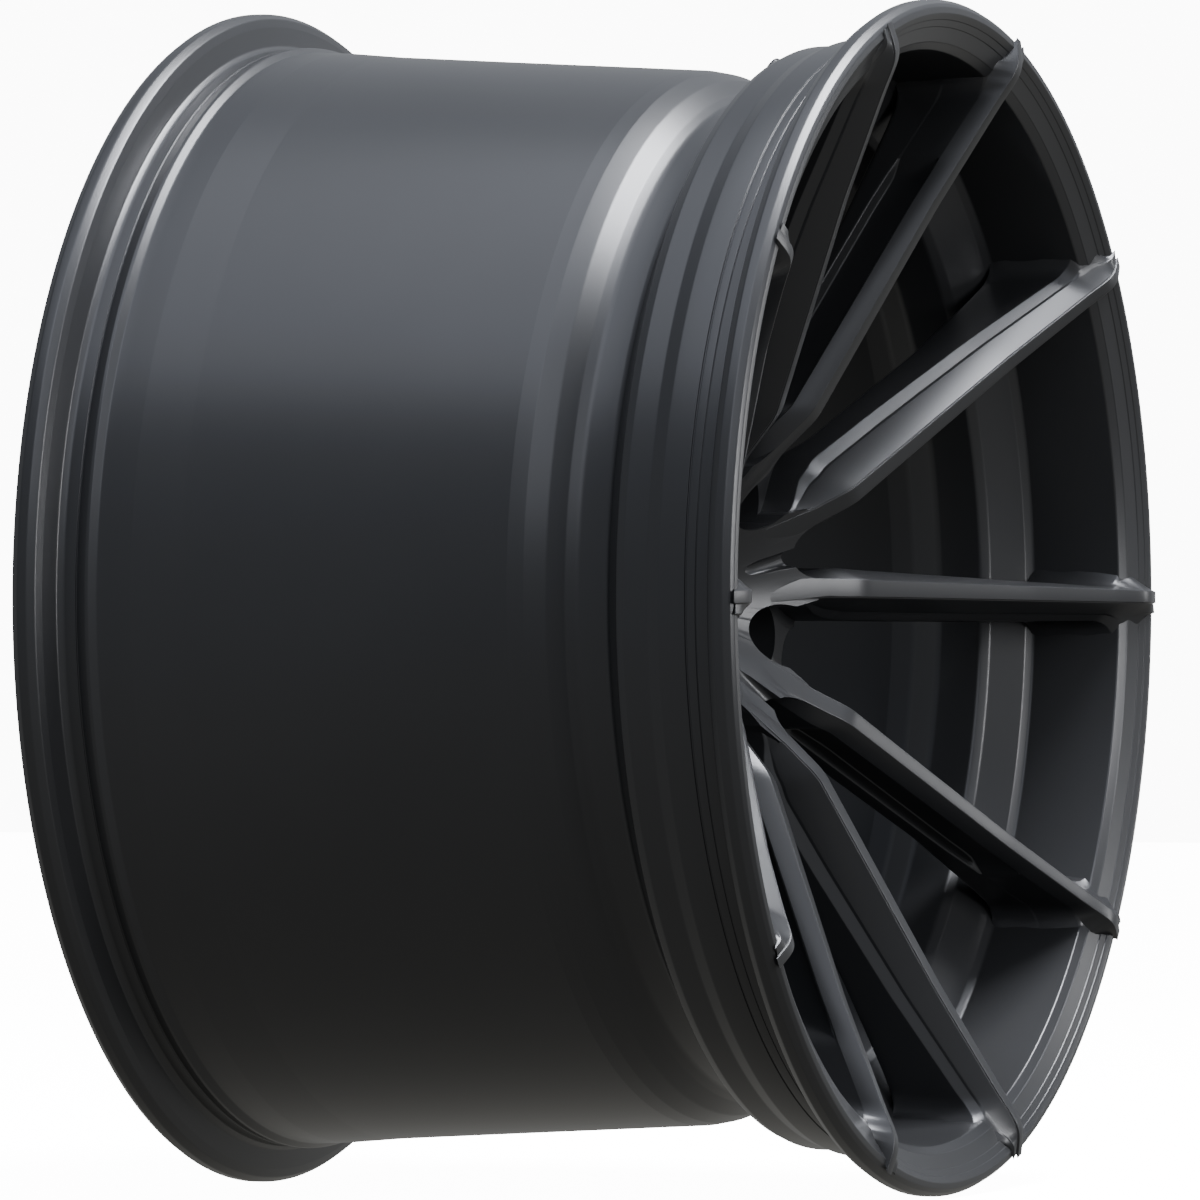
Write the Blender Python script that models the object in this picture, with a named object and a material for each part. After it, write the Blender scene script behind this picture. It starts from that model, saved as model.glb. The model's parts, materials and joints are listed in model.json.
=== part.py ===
"""Forged one-piece racing wheel, 20 x 13J, with its seat inserts, hub ring, centre cap and valve.

The wheel spins about Y and its face looks along -Y. The origin is on the axis, in the rim's
centre plane. Every piece is drawn in millimetres in the wheel's own frame, where local Z is
the axis towards the face, and then placed by the wheel_axis or valve_axis empty.
"""

import math

import bmesh
import bpy
from mathutils import Matrix, Vector

MM = 0.001
GAP = 0.3                     # left between pieces that touch
SLIDE_GAP = 0.15              # round the pieces that slide or turn

# Rim: 20 inch bead seats, 13 inches between the flanges
SEAT_RADIUS = 256.4
FLANGE_RADIUS = 273.9
HALF_WIDTH = 176.0
FLANGE_TOP_RADIUS = 7.4
WALL = 6.5
WELL_RADIUS = 230.0
LIP_FRONT = 173.0
RIM_SEGMENTS = 64

# Face: ten spokes in five mirrored pairs, each pair round one wheel bolt
SPOKES = 10
SPOKE_STEP = 36.0
LUG_COUNT = 5
FIRST_LUG_ANGLE = -18.0
LUG_CIRCLE_RADIUS = 57.15     # 5 x 114.3
LUG_POCKET_RADIUS = 14.8
TIP_RADIUS = 274.6
TIP_FRONT = 176.0

# Hub
PAD_X = 20.0
PAD_RADIUS = 75.0
PAD_FLANGE_X = 34.0
HUB_RADIUS = 92.0
BORE_RADIUS = 36.3
CAP_BORE_RADIUS = 30.3
CAP_RECESS_RADIUS = 32.4
CAP_RECESS_X = 44.5
HUB_FACE_X = 48.5
BOSS_FACE_X = 57.5
WINDOW_INNER_RADIUS = 60.0
HUB_SEGMENTS = 40
SECTOR_REACH = 135.0          # sides of the wedge that cuts one sector out of the hub

# Pressed seat inserts
INSERT_RADIUS = 11.0
INSERT_BACK_X = 22.0
INSERT_FRONT_X = 36.0
STUD_HOLE_RADIUS = 7.25

# Hub ring: 72.6 outside, 66.6 inside
RING_INNER_RADIUS = 33.3
RING_LENGTH = 12.0

# Tyre valve, clamped through the outboard wall of the well
VALVE_ANGLE = 100.0
VALVE_X = 105.6
VALVE_RADIUS = 238.6
VALVE_TILT = 28.5             # stem's lean towards the axis, from the axial direction
VALVE_HOLE_RADIUS = 5.65
SPOT_FACE_RADIUS = 10.5
STEM_RADIUS = 4.0
STEM_LENGTH = 34.0
CORE_RADIUS = 2.4

GUNMETAL = ((0.028, 0.029, 0.032, 1.0), 0.34, 0.75)
STEEL = ((0.33, 0.33, 0.34, 1.0), 0.30, 1.0)
ALUMINIUM = ((0.60, 0.61, 0.62, 1.0), 0.28, 1.0)
BRASS = ((0.62, 0.45, 0.20, 1.0), 0.30, 1.0)
RUBBER = ((0.012, 0.012, 0.012, 1.0), 0.75, 0.0)
PLASTIC = ((0.020, 0.020, 0.022, 1.0), 0.45, 0.0)


def clear_scene():
    for obj in list(bpy.data.objects):
        bpy.data.objects.remove(obj, do_unlink=True)


def material(name, look):
    found = bpy.data.materials.new(name)
    found.use_nodes = True
    shader = found.node_tree.nodes["Principled BSDF"]
    shader.inputs["Base Color"].default_value = look[0]
    shader.inputs["Roughness"].default_value = look[1]
    shader.inputs["Metallic"].default_value = look[2]
    return found


def axis_empty(name, matrix, parent=None):
    empty = bpy.data.objects.new(name, None)
    bpy.context.scene.collection.objects.link(empty)
    empty.parent = parent
    empty.matrix_local = matrix
    return empty


def add_object(name, shape, parent, look=None, smooth_angle=30.0):
    """Turn a bmesh drawn in millimetres into an object under the empty."""
    bmesh.ops.remove_doubles(shape, verts=shape.verts, dist=0.0005)
    bmesh.ops.recalc_face_normals(shape, faces=shape.faces)
    bmesh.ops.scale(shape, vec=(MM, MM, MM), verts=shape.verts)
    mesh = bpy.data.meshes.new(name)
    shape.to_mesh(mesh)
    shape.free()
    mesh.shade_smooth()
    mesh.set_sharp_from_angle(angle=math.radians(smooth_angle))
    obj = bpy.data.objects.new(name, mesh)
    bpy.context.scene.collection.objects.link(obj)
    obj.parent = parent
    if look:
        mesh.materials.append(material(name, look))
    else:
        obj.hide_render = True
        obj.display_type = "WIRE"
    return obj


def turned(profile, segments):
    """Closed outline of (radius, height) points, spun about local Z. Points on the axis merge."""
    shape = bmesh.new()
    corners = [shape.verts.new((radius, 0.0, height)) for radius, height in profile]
    pairs = zip(corners, corners[1:] + corners[:1])
    edges = [shape.edges.new(pair) for pair in pairs if any(end.co.x for end in pair)]
    bmesh.ops.spin(
        shape, geom=corners + edges, cent=(0, 0, 0), axis=(0, 0, 1),
        angle=math.tau, steps=segments, use_merge=True,
    )
    bmesh.ops.dissolve_degenerate(shape, dist=0.0005, edges=shape.edges)
    return shape


def prism(outline, low, high):
    """Outline of (x, y) points, extruded along local Z."""
    shape = bmesh.new()
    face = shape.faces.new([shape.verts.new((x, y, low)) for x, y in outline])
    grown = bmesh.ops.extrude_face_region(shape, geom=[face])
    top = [item for item in grown["geom"] if isinstance(item, bmesh.types.BMVert)]
    bmesh.ops.translate(shape, vec=(0, 0, high - low), verts=top)
    return shape


def loft(sections):
    """Closed body through rings of equal length, with a cap on each end."""
    shape = bmesh.new()
    rings = [[shape.verts.new(point) for point in section] for section in sections]
    shape.faces.new(rings[0])
    shape.faces.new(rings[-1])
    for ring, following in zip(rings, rings[1:]):
        for index in range(len(ring)):
            after = (index + 1) % len(ring)
            shape.faces.new((ring[index], ring[after], following[after], following[index]))
    return shape


def cut(target, cutter, operation="DIFFERENCE"):
    modifier = target.modifiers.new(cutter.name, "BOOLEAN")
    modifier.operation = operation
    modifier.solver = "EXACT"
    modifier.object = cutter


def arc(centre, radius, start, end, steps):
    """Points from one angle to another, in degrees."""
    angles = [math.radians(start + (end - start) * step / steps) for step in range(steps + 1)]
    return [(centre[0] + radius * math.cos(a), centre[1] + radius * math.sin(a)) for a in angles]


def between(table, value):
    """Read a table of (key, number) pairs along straight lines."""
    for (key, number), (next_key, next_number) in zip(table, table[1:]):
        if value <= next_key:
            share = max(0.0, (value - key) / (next_key - key))
            return number + (next_number - number) * share
    return table[-1][1]


def grown(profile, amount):
    """The outline moved outwards by amount, for a cutter that leaves a gap."""
    count = len(profile)
    area = sum(
        profile[i][0] * profile[(i + 1) % count][1] - profile[(i + 1) % count][0] * profile[i][1]
        for i in range(count)
    )
    side = 1.0 if area > 0 else -1.0
    moved = []
    for index in range(count):
        before = Vector(profile[index - 1])
        here = Vector(profile[index])
        after = Vector(profile[(index + 1) % count])
        first = (here - before).normalized()
        second = (after - here).normalized()
        normal = Vector((first.y + second.y, -first.x - second.x)).normalized()
        reach = amount / max(0.5, normal.dot(Vector((first.y, -first.x))))
        moved.append(tuple(here + normal * reach * side))
    return moved


def flange(side, centre_x, last_angle):
    """The round-topped flange from the bead seat outwards, as (radius, x)."""
    centre_radius = FLANGE_RADIUS - FLANGE_TOP_RADIUS
    points = [(SEAT_RADIUS, side * 156.5), (258.0, side * 159.2)]
    for angle in (-80, -40, 0, 40, last_angle):
        turn = math.radians(angle)
        radius = centre_radius + FLANGE_TOP_RADIUS * math.cos(turn)
        points.append((radius, side * (centre_x + FLANGE_TOP_RADIUS * math.sin(turn))))
    return points


def rim_profile():
    """Closed (radius, x) outline of the barrel. x is 0 in the centre plane, + towards the face."""
    outboard = [
        (249.4, -52.5), (246.5, -2.2), (243.3, 52.8), (241.4, 62.7), (237.8, 71.7),
        (WELL_RADIUS + 1.0, 78.0), (WELL_RADIUS, 81.0), (WELL_RADIUS, 97.0),
        (WELL_RADIUS + 3.0, 100.5), (250.5, 110.2), (253.0, 112.5), (253.2, 125.0),
        (SEAT_RADIUS, 132.0), (SEAT_RADIUS, 143.0),
    ]
    inboard = [
        (SEAT_RADIUS, -150.0), (257.4, -144.0), (254.9, -141.0), (254.4, -124.0), (252.2, -100.0),
    ]
    outer_lip = [(266.0, LIP_FRONT - 0.5), (261.0, 169.6), (250.0, 163.0)]
    inner = [
        (247.0, 119.0), (245.0, 116.6), (227.5, 105.6), (WELL_RADIUS - WALL, 102.5),
        (WELL_RADIUS - WALL, 80.0), (235.0, 64.0), (236.8, 52.0), (243.0, -60.0),
        (247.8, -124.0), (249.6, -158.0), (254.0, -168.0), (261.0, -HALF_WIDTH),
    ]
    left_flange = flange(-1, HALF_WIDTH - FLANGE_TOP_RADIUS, 90)[::-1]
    right_flange = flange(1, 166.0, 60)
    return left_flange + inboard + outboard + right_flange + outer_lip + inner


def valve_matrix():
    """Valve frame: origin in the wall, local Z out along the stem, local X to the side."""
    angle = math.radians(VALVE_ANGLE)
    tilt = math.radians(VALVE_TILT)
    radial = Vector((math.cos(angle), math.sin(angle), 0))
    axial = Vector((0, 0, 1))
    out = axial * math.cos(tilt) - radial * math.sin(tilt)
    side = radial.cross(axial)
    frame = Matrix((side, out.cross(side), out)).transposed().to_4x4()
    frame.translation = (radial * VALVE_RADIUS + axial * VALVE_X) * MM
    return frame


def make_barrel(wheel, valve):
    barrel = add_object("barrel", turned(rim_profile(), RIM_SEGMENTS), wheel, GUNMETAL)
    inner = WALL / 2 - 0.6
    hole = [
        (0.0, -20.0), (SPOT_FACE_RADIUS, -20.0), (SPOT_FACE_RADIUS, -inner),
        (VALVE_HOLE_RADIUS, -inner), (VALVE_HOLE_RADIUS, inner),
        (SPOT_FACE_RADIUS, inner), (SPOT_FACE_RADIUS, 20.0), (0.0, 20.0),
    ]
    cut(barrel, add_object("valve_hole_cutter", turned(hole, 20), valve))
    return barrel


FRONT = [
    (33.0, 48.0), (41.0, 54.5), (87.0, 95.7), (190.0, 142.0), (240.0, 167.0), (254.0, 174.6),
    (260.0, TIP_FRONT), (268.0, 175.2), (276.0, 173.6),
]
BACK = [
    (92.0, 52.0), (110.0, 66.6), (180.0, 98.5), (225.0, 113.6), (246.0, 119.5),
    (250.5, 161.0), (276.0, 163.0),
]
STRIP_WIDTH = [(60.0, 8.4), (111.0, 7.4), (270.0, 5.6)]
FACET_EDGE = [(92.0, 12.8), (130.0, 12.4), (262.0, 6.4)]
FACET_DROP = [(92.0, 15.0), (262.0, 10.0)]
LEDGE_EDGE = [(92.0, 17.4), (130.0, 16.2), (262.0, 7.4)]
LEDGE_DROP = [(92.0, 20.0), (262.0, 13.0)]
SIDE_EDGE = [(80.0, 9.4), (210.0, 5.4), (262.0, 4.2)]
POCKET_DROP = 12.6
POCKET_FOOT = 27.0
POCKET_DEPTH = [(92.0, 3.0), (100.0, 4.0), (200.0, 2.0), (212.0, 0.0), (220.0, 0.0)]


def spoke_section(radius, lug_side):
    """One cross-section of a spoke lying along local X. lug_side is 1 or -1 along local Y."""
    front = between(FRONT, radius)
    back = between(BACK, radius)
    shift = -(0.4 + 0.0222 * (FLANGE_RADIUS - radius))
    strip = between(STRIP_WIDTH, radius) / 2
    edge = between(SIDE_EDGE, radius)
    depth = front - back
    drop = min(POCKET_DROP, 0.35 * depth)
    foot = min(POCKET_FOOT, 0.7 * depth)
    step = min(1.5, 0.1 * depth)
    facet = min(between(FACET_DROP, radius), 0.42 * depth)
    ledge = min(between(LEDGE_DROP, radius), 0.56 * depth)
    deep = between(POCKET_DEPTH, radius)
    outline = [
        (shift - strip, front),
        (shift + strip, front),
        (shift + between(FACET_EDGE, radius), front - facet),
        (shift + between(LEDGE_EDGE, radius), front - ledge),
        (shift + between(LEDGE_EDGE, radius) + 0.4, back),
        (-edge - 0.6, back),
        (-edge, front - foot - step),
        (-edge + deep, front - foot),
        (-edge + deep, front - drop - step),
        (-edge, front - drop),
    ]
    return [(radius, lug_side * offset, x) for offset, x in outline]


def make_spokes(wheel):
    rim_cutter = add_object("rim_cutter", turned(grown(rim_profile(), GAP), RIM_SEGMENTS), wheel)
    stations = [HUB_RADIUS + GAP, 100.0, 112.0, 140.0, 165.0, 200.0, 212.0, 232.0, 246.0, 250.5, 262.0, 268.0]
    for index in range(SPOKES):
        angle = index * SPOKE_STEP
        lug_side = 1 if index % 2 else -1
        sections = [spoke_section(radius, lug_side) for radius in stations]
        sections.append(spoke_section(TIP_RADIUS, lug_side))
        shape = loft(sections)
        turn = Matrix.Rotation(math.radians(angle), 4, "Z")
        bmesh.ops.transform(shape, matrix=turn, verts=shape.verts)
        spoke = add_object(f"spoke_{index + 1:02d}", shape, wheel, GUNMETAL)
        cut(spoke, rim_cutter)


def spread(outline, angle):
    """Turn (along, across) points to an angle round the wheel."""
    turn = Matrix.Rotation(math.radians(angle), 2)
    return [tuple(turn @ Vector(point)) for point in outline]


def lug_recess():
    """Open-ended slot round a bolt pocket, widening between the two spokes of its pair."""
    round_end = arc((LUG_CIRCLE_RADIUS, 0), LUG_POCKET_RADIUS, 110, 250, 8)
    return [(100.0, 19.0)] + round_end + [(100.0, -19.0)]


def spoke_window():
    """Opening between two pairs of spokes, with a round inner end."""
    half = math.radians(SPOKE_STEP / 2)
    wall = 9.6
    inner = WINDOW_INNER_RADIUS
    round_radius = (inner * math.sin(half) - wall) / (1 - math.sin(half))
    centre = inner + round_radius
    outer = 100.0
    reach = outer * math.tan(half) - wall / math.cos(half)
    tangent = 90 + math.degrees(half)
    round_end = arc((centre, 0), round_radius, tangent, 360 - tangent, 6)
    return [(outer, reach)] + round_end + [(outer, -reach)]


def sector_wedge():
    """Triangle over one fifth of the hub, set back so that neighbours stand a gap apart."""
    half = math.radians(SPOKE_STEP)
    apex = GAP / 2 / math.sin(half)
    far = apex + SECTOR_REACH * math.cos(half)
    across = SECTOR_REACH * math.sin(half)
    return [(apex, 0.0), (far, across), (far, -across)]


def make_hub(wheel):
    """Five sectors that make up the hub, each round one wheel bolt."""
    profile = [
        (BORE_RADIUS + 1.0, PAD_X), (PAD_RADIUS, PAD_X), (PAD_RADIUS + 2.0, PAD_X + 2.0),
        (HUB_RADIUS, 47.0), (HUB_RADIUS, between(FRONT, HUB_RADIUS)), (87.0, between(FRONT, 87.0)),
        (41.0, between(FRONT, 41.0)), (CAP_RECESS_RADIUS + 1.0, HUB_FACE_X),
        (CAP_RECESS_RADIUS, HUB_FACE_X - 1.0), (CAP_RECESS_RADIUS, CAP_RECESS_X),
        (CAP_BORE_RADIUS, CAP_RECESS_X), (CAP_BORE_RADIUS, PAD_FLANGE_X),
        (BORE_RADIUS, PAD_FLANGE_X), (BORE_RADIUS, PAD_X + 1.0),
    ]
    bolt_hole = [
        (0.0, PAD_X - 5.0), (9.0, PAD_X - 5.0), (9.0, INSERT_BACK_X - GAP),
        (INSERT_RADIUS + GAP, INSERT_BACK_X - GAP), (INSERT_RADIUS + GAP, INSERT_FRONT_X),
        (LUG_POCKET_RADIUS, INSERT_FRONT_X), (LUG_POCKET_RADIUS, BOSS_FACE_X + 1.0),
        (0.0, BOSS_FACE_X + 1.0),
    ]
    windows = []
    for index in range(LUG_COUNT):
        angle = FIRST_LUG_ANGLE + (2 * index + 1) * SPOKE_STEP
        window = prism(spread(spoke_window(), angle), PAD_FLANGE_X, 110.0)
        windows.append(add_object(f"window_cutter_{index + 1}", window, wheel))
    for index in range(LUG_COUNT):
        angle = FIRST_LUG_ANGLE + index * 2 * SPOKE_STEP
        sector = add_object(f"hub_sector_{index + 1}", turned(profile, HUB_SEGMENTS), wheel, GUNMETAL)
        wedge = prism(spread(sector_wedge(), angle), PAD_X - 5.0, 112.0)
        cut(sector, add_object(f"sector_wedge_{index + 1}", wedge, wheel), "INTERSECT")
        recess = prism(spread(lug_recess(), angle), BOSS_FACE_X, 110.0)
        cut(sector, add_object(f"lug_recess_cutter_{index + 1}", recess, wheel))
        cut(sector, windows[index])
        cut(sector, windows[index - 1])
        hole = turned(bolt_hole, 20)
        centre = spread([(LUG_CIRCLE_RADIUS, 0.0)], angle)[0]
        bmesh.ops.translate(hole, vec=(centre[0], centre[1], 0), verts=hole.verts)
        cut(sector, add_object(f"bolt_hole_cutter_{index + 1}", hole, wheel))


def make_seat_inserts(wheel):
    """Steel sleeves with a 60 degree cone for the wheel bolts, pressed in from the front."""
    rim = INSERT_RADIUS - 0.7
    cone_depth = (rim - STUD_HOLE_RADIUS) / math.tan(math.radians(30))
    profile = [
        (STUD_HOLE_RADIUS, INSERT_BACK_X), (INSERT_RADIUS - 0.5, INSERT_BACK_X),
        (INSERT_RADIUS, INSERT_BACK_X + 0.5), (INSERT_RADIUS, INSERT_FRONT_X - 0.3),
        (rim, INSERT_FRONT_X - 0.3), (STUD_HOLE_RADIUS, INSERT_FRONT_X - 0.3 - cone_depth),
    ]
    for index in range(LUG_COUNT):
        angle = FIRST_LUG_ANGLE + index * 2 * SPOKE_STEP
        centre = spread([(LUG_CIRCLE_RADIUS, 0.0)], angle)[0]
        sleeve = turned(profile, 20)
        bmesh.ops.translate(sleeve, vec=(centre[0], centre[1], 0), verts=sleeve.verts)
        add_object(f"lug_seat_insert_{index + 1}", sleeve, wheel, STEEL)


def make_hub_ring(wheel):
    outer = BORE_RADIUS - GAP
    back = PAD_X + 0.6
    profile = [
        (RING_INNER_RADIUS + 0.8, back), (outer - 0.8, back), (outer, back + 0.8),
        (outer, back + RING_LENGTH), (RING_INNER_RADIUS, back + RING_LENGTH),
        (RING_INNER_RADIUS, back + 0.8),
    ]
    add_object("hub_centring_ring", turned(profile, HUB_SEGMENTS), wheel, ALUMINIUM)


CAP_SKIRT_RADIUS = CAP_BORE_RADIUS - SLIDE_GAP
CAP_BACK_X = 35.0
CAP_WEB_X = 43.0
CAP_FACE_X = 48.9
GROOVE_X = (38.0, 41.2)
GROOVE_RADIUS = 27.1
PLATE_RADIUS = 26.0
PLATE_THICKNESS = 1.2


def make_centre_cap(wheel):
    """Turned cap with a blank plate, held in the hub's front bore by an O-ring."""
    face_radius = CAP_RECESS_RADIUS - GAP
    plate_floor = CAP_FACE_X - PLATE_THICKNESS
    profile = [
        (0.0, CAP_WEB_X), (CAP_SKIRT_RADIUS - 3.5, CAP_WEB_X), (CAP_SKIRT_RADIUS - 5.0, CAP_BACK_X),
        (CAP_SKIRT_RADIUS - 0.6, CAP_BACK_X), (CAP_SKIRT_RADIUS, CAP_BACK_X + 0.8),
        (CAP_SKIRT_RADIUS, GROOVE_X[0]), (GROOVE_RADIUS, GROOVE_X[0]), (GROOVE_RADIUS, GROOVE_X[1]),
        (CAP_SKIRT_RADIUS, GROOVE_X[1]), (CAP_SKIRT_RADIUS, CAP_RECESS_X + GAP),
        (face_radius, CAP_RECESS_X + GAP), (face_radius, CAP_FACE_X - 0.8),
        (face_radius - 0.8, CAP_FACE_X), (PLATE_RADIUS + GAP, CAP_FACE_X),
        (PLATE_RADIUS + GAP, plate_floor), (0.0, plate_floor),
    ]
    add_object("centre_cap", turned(profile, HUB_SEGMENTS), wheel, GUNMETAL)
    plate = [
        (0.0, plate_floor + GAP), (PLATE_RADIUS, plate_floor + GAP),
        (PLATE_RADIUS, CAP_FACE_X - 0.2), (PLATE_RADIUS - 0.3, CAP_FACE_X + 0.1),
        (0.0, CAP_FACE_X + 0.1),
    ]
    add_object("centre_cap_plate", turned(plate, HUB_SEGMENTS), wheel, ALUMINIUM)
    ring_radius = (GROOVE_X[1] - GROOVE_X[0]) / 2 - 0.3
    ring_centre = (CAP_SKIRT_RADIUS - 0.02 - ring_radius, sum(GROOVE_X) / 2)
    ring = arc(ring_centre, ring_radius, 0, 315, 7)
    add_object("centre_cap_o_ring", turned(ring, HUB_SEGMENTS), wheel, RUBBER)


INNER_SEAT = WALL / 2 - 0.6
HEAD_RADIUS = 8.6
WASHER_RADIUS = 7.8
NUT_RADIUS = 6.9
CAP_OUTER_RADIUS = 4.9
CORE_SEAT_Z = 18.0


def make_valve(valve):
    """Clamp-in metal valve. Local Z runs out along the stem; the wall is round z = 0."""
    hole = VALVE_HOLE_RADIUS - 0.4
    seal_back = -INNER_SEAT - GAP - 2.4
    head_back = seal_back - GAP - 3.2
    stem = [
        (1.4, head_back), (HEAD_RADIUS - 0.8, head_back), (HEAD_RADIUS, head_back + 0.8),
        (HEAD_RADIUS, seal_back - GAP), (STEM_RADIUS, seal_back - GAP),
        (STEM_RADIUS, STEM_LENGTH - 0.5), (STEM_RADIUS - 0.5, STEM_LENGTH),
        (CORE_RADIUS + GAP, STEM_LENGTH), (CORE_RADIUS + GAP, CORE_SEAT_Z), (1.4, CORE_SEAT_Z - 2.0),
    ]
    add_object("valve_stem", turned(stem, 20), valve, BRASS)
    seal = [
        (STEM_RADIUS + GAP, seal_back), (HEAD_RADIUS - 0.2, seal_back),
        (HEAD_RADIUS - 0.2, -INNER_SEAT - GAP), (hole, -INNER_SEAT - GAP), (hole, INNER_SEAT - 1.0),
        (STEM_RADIUS + GAP, INNER_SEAT - 1.0),
    ]
    add_object("valve_seal", turned(seal, 20), valve, RUBBER)
    washer_low = INNER_SEAT + GAP
    washer = [
        (STEM_RADIUS + GAP, washer_low), (WASHER_RADIUS, washer_low),
        (WASHER_RADIUS, washer_low + 1.0), (STEM_RADIUS + GAP, washer_low + 1.0),
    ]
    add_object("valve_washer", turned(washer, 20), valve, STEEL)
    nut_low = washer_low + 1.0 + GAP
    nut = add_object("valve_nut", prism(arc((0, 0), NUT_RADIUS, 0, 300, 5), nut_low, nut_low + 5.0),
                     valve, STEEL)
    nut_hole = [(0, nut_low - 2), (STEM_RADIUS + GAP, nut_low - 2),
                (STEM_RADIUS + GAP, nut_low + 7), (0, nut_low + 7)]
    cut(nut, add_object("valve_nut_cutter", turned(nut_hole, 20), valve))
    make_valve_core(valve)
    make_valve_cap(valve)


PIN_RADIUS = 0.55
PIN_TOP_Z = STEM_LENGTH - 0.4
CORE_TOP_Z = STEM_LENGTH - 2.0
CORE_LOW_Z = CORE_SEAT_Z + 4.0
CHAMBER_RADIUS = 1.75
CHAMBER_LOW_Z = CORE_LOW_Z + 1.2
COLLAR_Z = CORE_TOP_Z - 1.7
SPRING_RADIUS = 1.15
SPRING_WIRE = 0.2
SPRING_TURNS = 5
PIN_STROKE = 1.0


def coil(low, high):
    """Round wire wound about local Z."""
    steps = SPRING_TURNS * 10
    sections = []
    for step in range(steps + 1):
        share = step / steps
        turn = math.tau * SPRING_TURNS * share
        centre = Vector((SPRING_RADIUS * math.cos(turn), SPRING_RADIUS * math.sin(turn), 0))
        centre.z = low + (high - low) * share
        outwards = Vector((math.cos(turn), math.sin(turn), 0))
        ring = [
            centre + (outwards * math.cos(a) + Vector((0, 0, 1)) * math.sin(a)) * SPRING_WIRE
            for a in (math.tau * side / 5 for side in range(5))
        ]
        sections.append(ring)
    return loft(sections)


def make_valve_core(valve):
    """Screwed-in core: body, seal washer, and the sprung pin that opens it."""
    bore = PIN_RADIUS + GAP
    body = [
        (bore, CORE_LOW_Z), (CORE_RADIUS - 0.3, CORE_LOW_Z), (CORE_RADIUS, CORE_LOW_Z + 2.0),
        (CORE_RADIUS, CORE_TOP_Z), (bore, CORE_TOP_Z), (bore, CORE_TOP_Z - 1.0),
        (CHAMBER_RADIUS, CORE_TOP_Z - 1.0), (CHAMBER_RADIUS, CHAMBER_LOW_Z), (bore, CHAMBER_LOW_Z),
    ]
    add_object("valve_core_body", turned(body, 16), valve, BRASS)
    seal = [
        (bore, CORE_LOW_Z - 1.5), (CORE_RADIUS - 0.2, CORE_LOW_Z - 1.5),
        (CORE_RADIUS - 0.5, CORE_LOW_Z - GAP), (bore, CORE_LOW_Z - GAP),
    ]
    add_object("valve_core_seal", turned(seal, 16), valve, RUBBER)
    plug_top = CORE_LOW_Z - 1.5 - GAP
    collar = CHAMBER_RADIUS - GAP
    pin = [
        (0.0, plug_top - 1.6), (1.15, plug_top - 1.6), (1.15, plug_top), (PIN_RADIUS, plug_top),
        (PIN_RADIUS, COLLAR_Z - 0.4), (collar, COLLAR_Z - 0.4), (collar, COLLAR_Z),
        (PIN_RADIUS, COLLAR_Z), (PIN_RADIUS, PIN_TOP_Z - 0.4), (PIN_RADIUS + 0.5, PIN_TOP_Z - 0.4),
        (PIN_RADIUS + 0.5, PIN_TOP_Z), (0.0, PIN_TOP_Z),
    ]
    add_object("valve_core_pin", turned(pin, 16), valve, BRASS)
    spring_low = CHAMBER_LOW_Z + GAP + SPRING_WIRE
    spring_high = COLLAR_Z - 0.4 - PIN_STROKE - 0.2 - SPRING_WIRE
    add_object("valve_core_spring", coil(spring_low, spring_high), valve, STEEL)


CAP_TOP_Z = STEM_LENGTH + 3.6
CAP_OPEN_Z = STEM_LENGTH - 8.0


def make_valve_cap(valve):
    inner = STEM_RADIUS + SLIDE_GAP
    ceiling = STEM_LENGTH + 1.5
    cap = [
        (0.0, ceiling), (inner, ceiling), (inner, CAP_OPEN_Z), (CAP_OUTER_RADIUS, CAP_OPEN_Z),
        (CAP_OUTER_RADIUS, CAP_TOP_Z - 1.6), (CAP_OUTER_RADIUS - 0.9, CAP_TOP_Z), (0.0, CAP_TOP_Z),
    ]
    add_object("valve_cap", turned(cap, 20), valve, PLASTIC)
    gasket = [
        (CORE_RADIUS, STEM_LENGTH + GAP), (STEM_RADIUS - 0.2, STEM_LENGTH + GAP),
        (STEM_RADIUS - 0.2, ceiling - GAP), (CORE_RADIUS, ceiling - GAP),
    ]
    add_object("valve_cap_gasket", turned(gasket, 20), valve, RUBBER)


def main():
    clear_scene()
    wheel = axis_empty("wheel_axis", Matrix.Rotation(math.radians(90), 4, "X"))
    valve = axis_empty("valve_axis", valve_matrix(), wheel)
    make_barrel(wheel, valve)
    make_spokes(wheel)
    make_hub(wheel)
    make_seat_inserts(wheel)
    make_hub_ring(wheel)
    make_centre_cap(wheel)
    make_valve(valve)


main()
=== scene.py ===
"""The looks of the forged wheel: one seamless forging, its fittings, and a plain studio.

Lengths are in millimetres in the wheel's own frame (local Z along the axis towards the face)
until a mesh is finished; add_object then turns it into the row's frame, in metres.
"""

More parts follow.
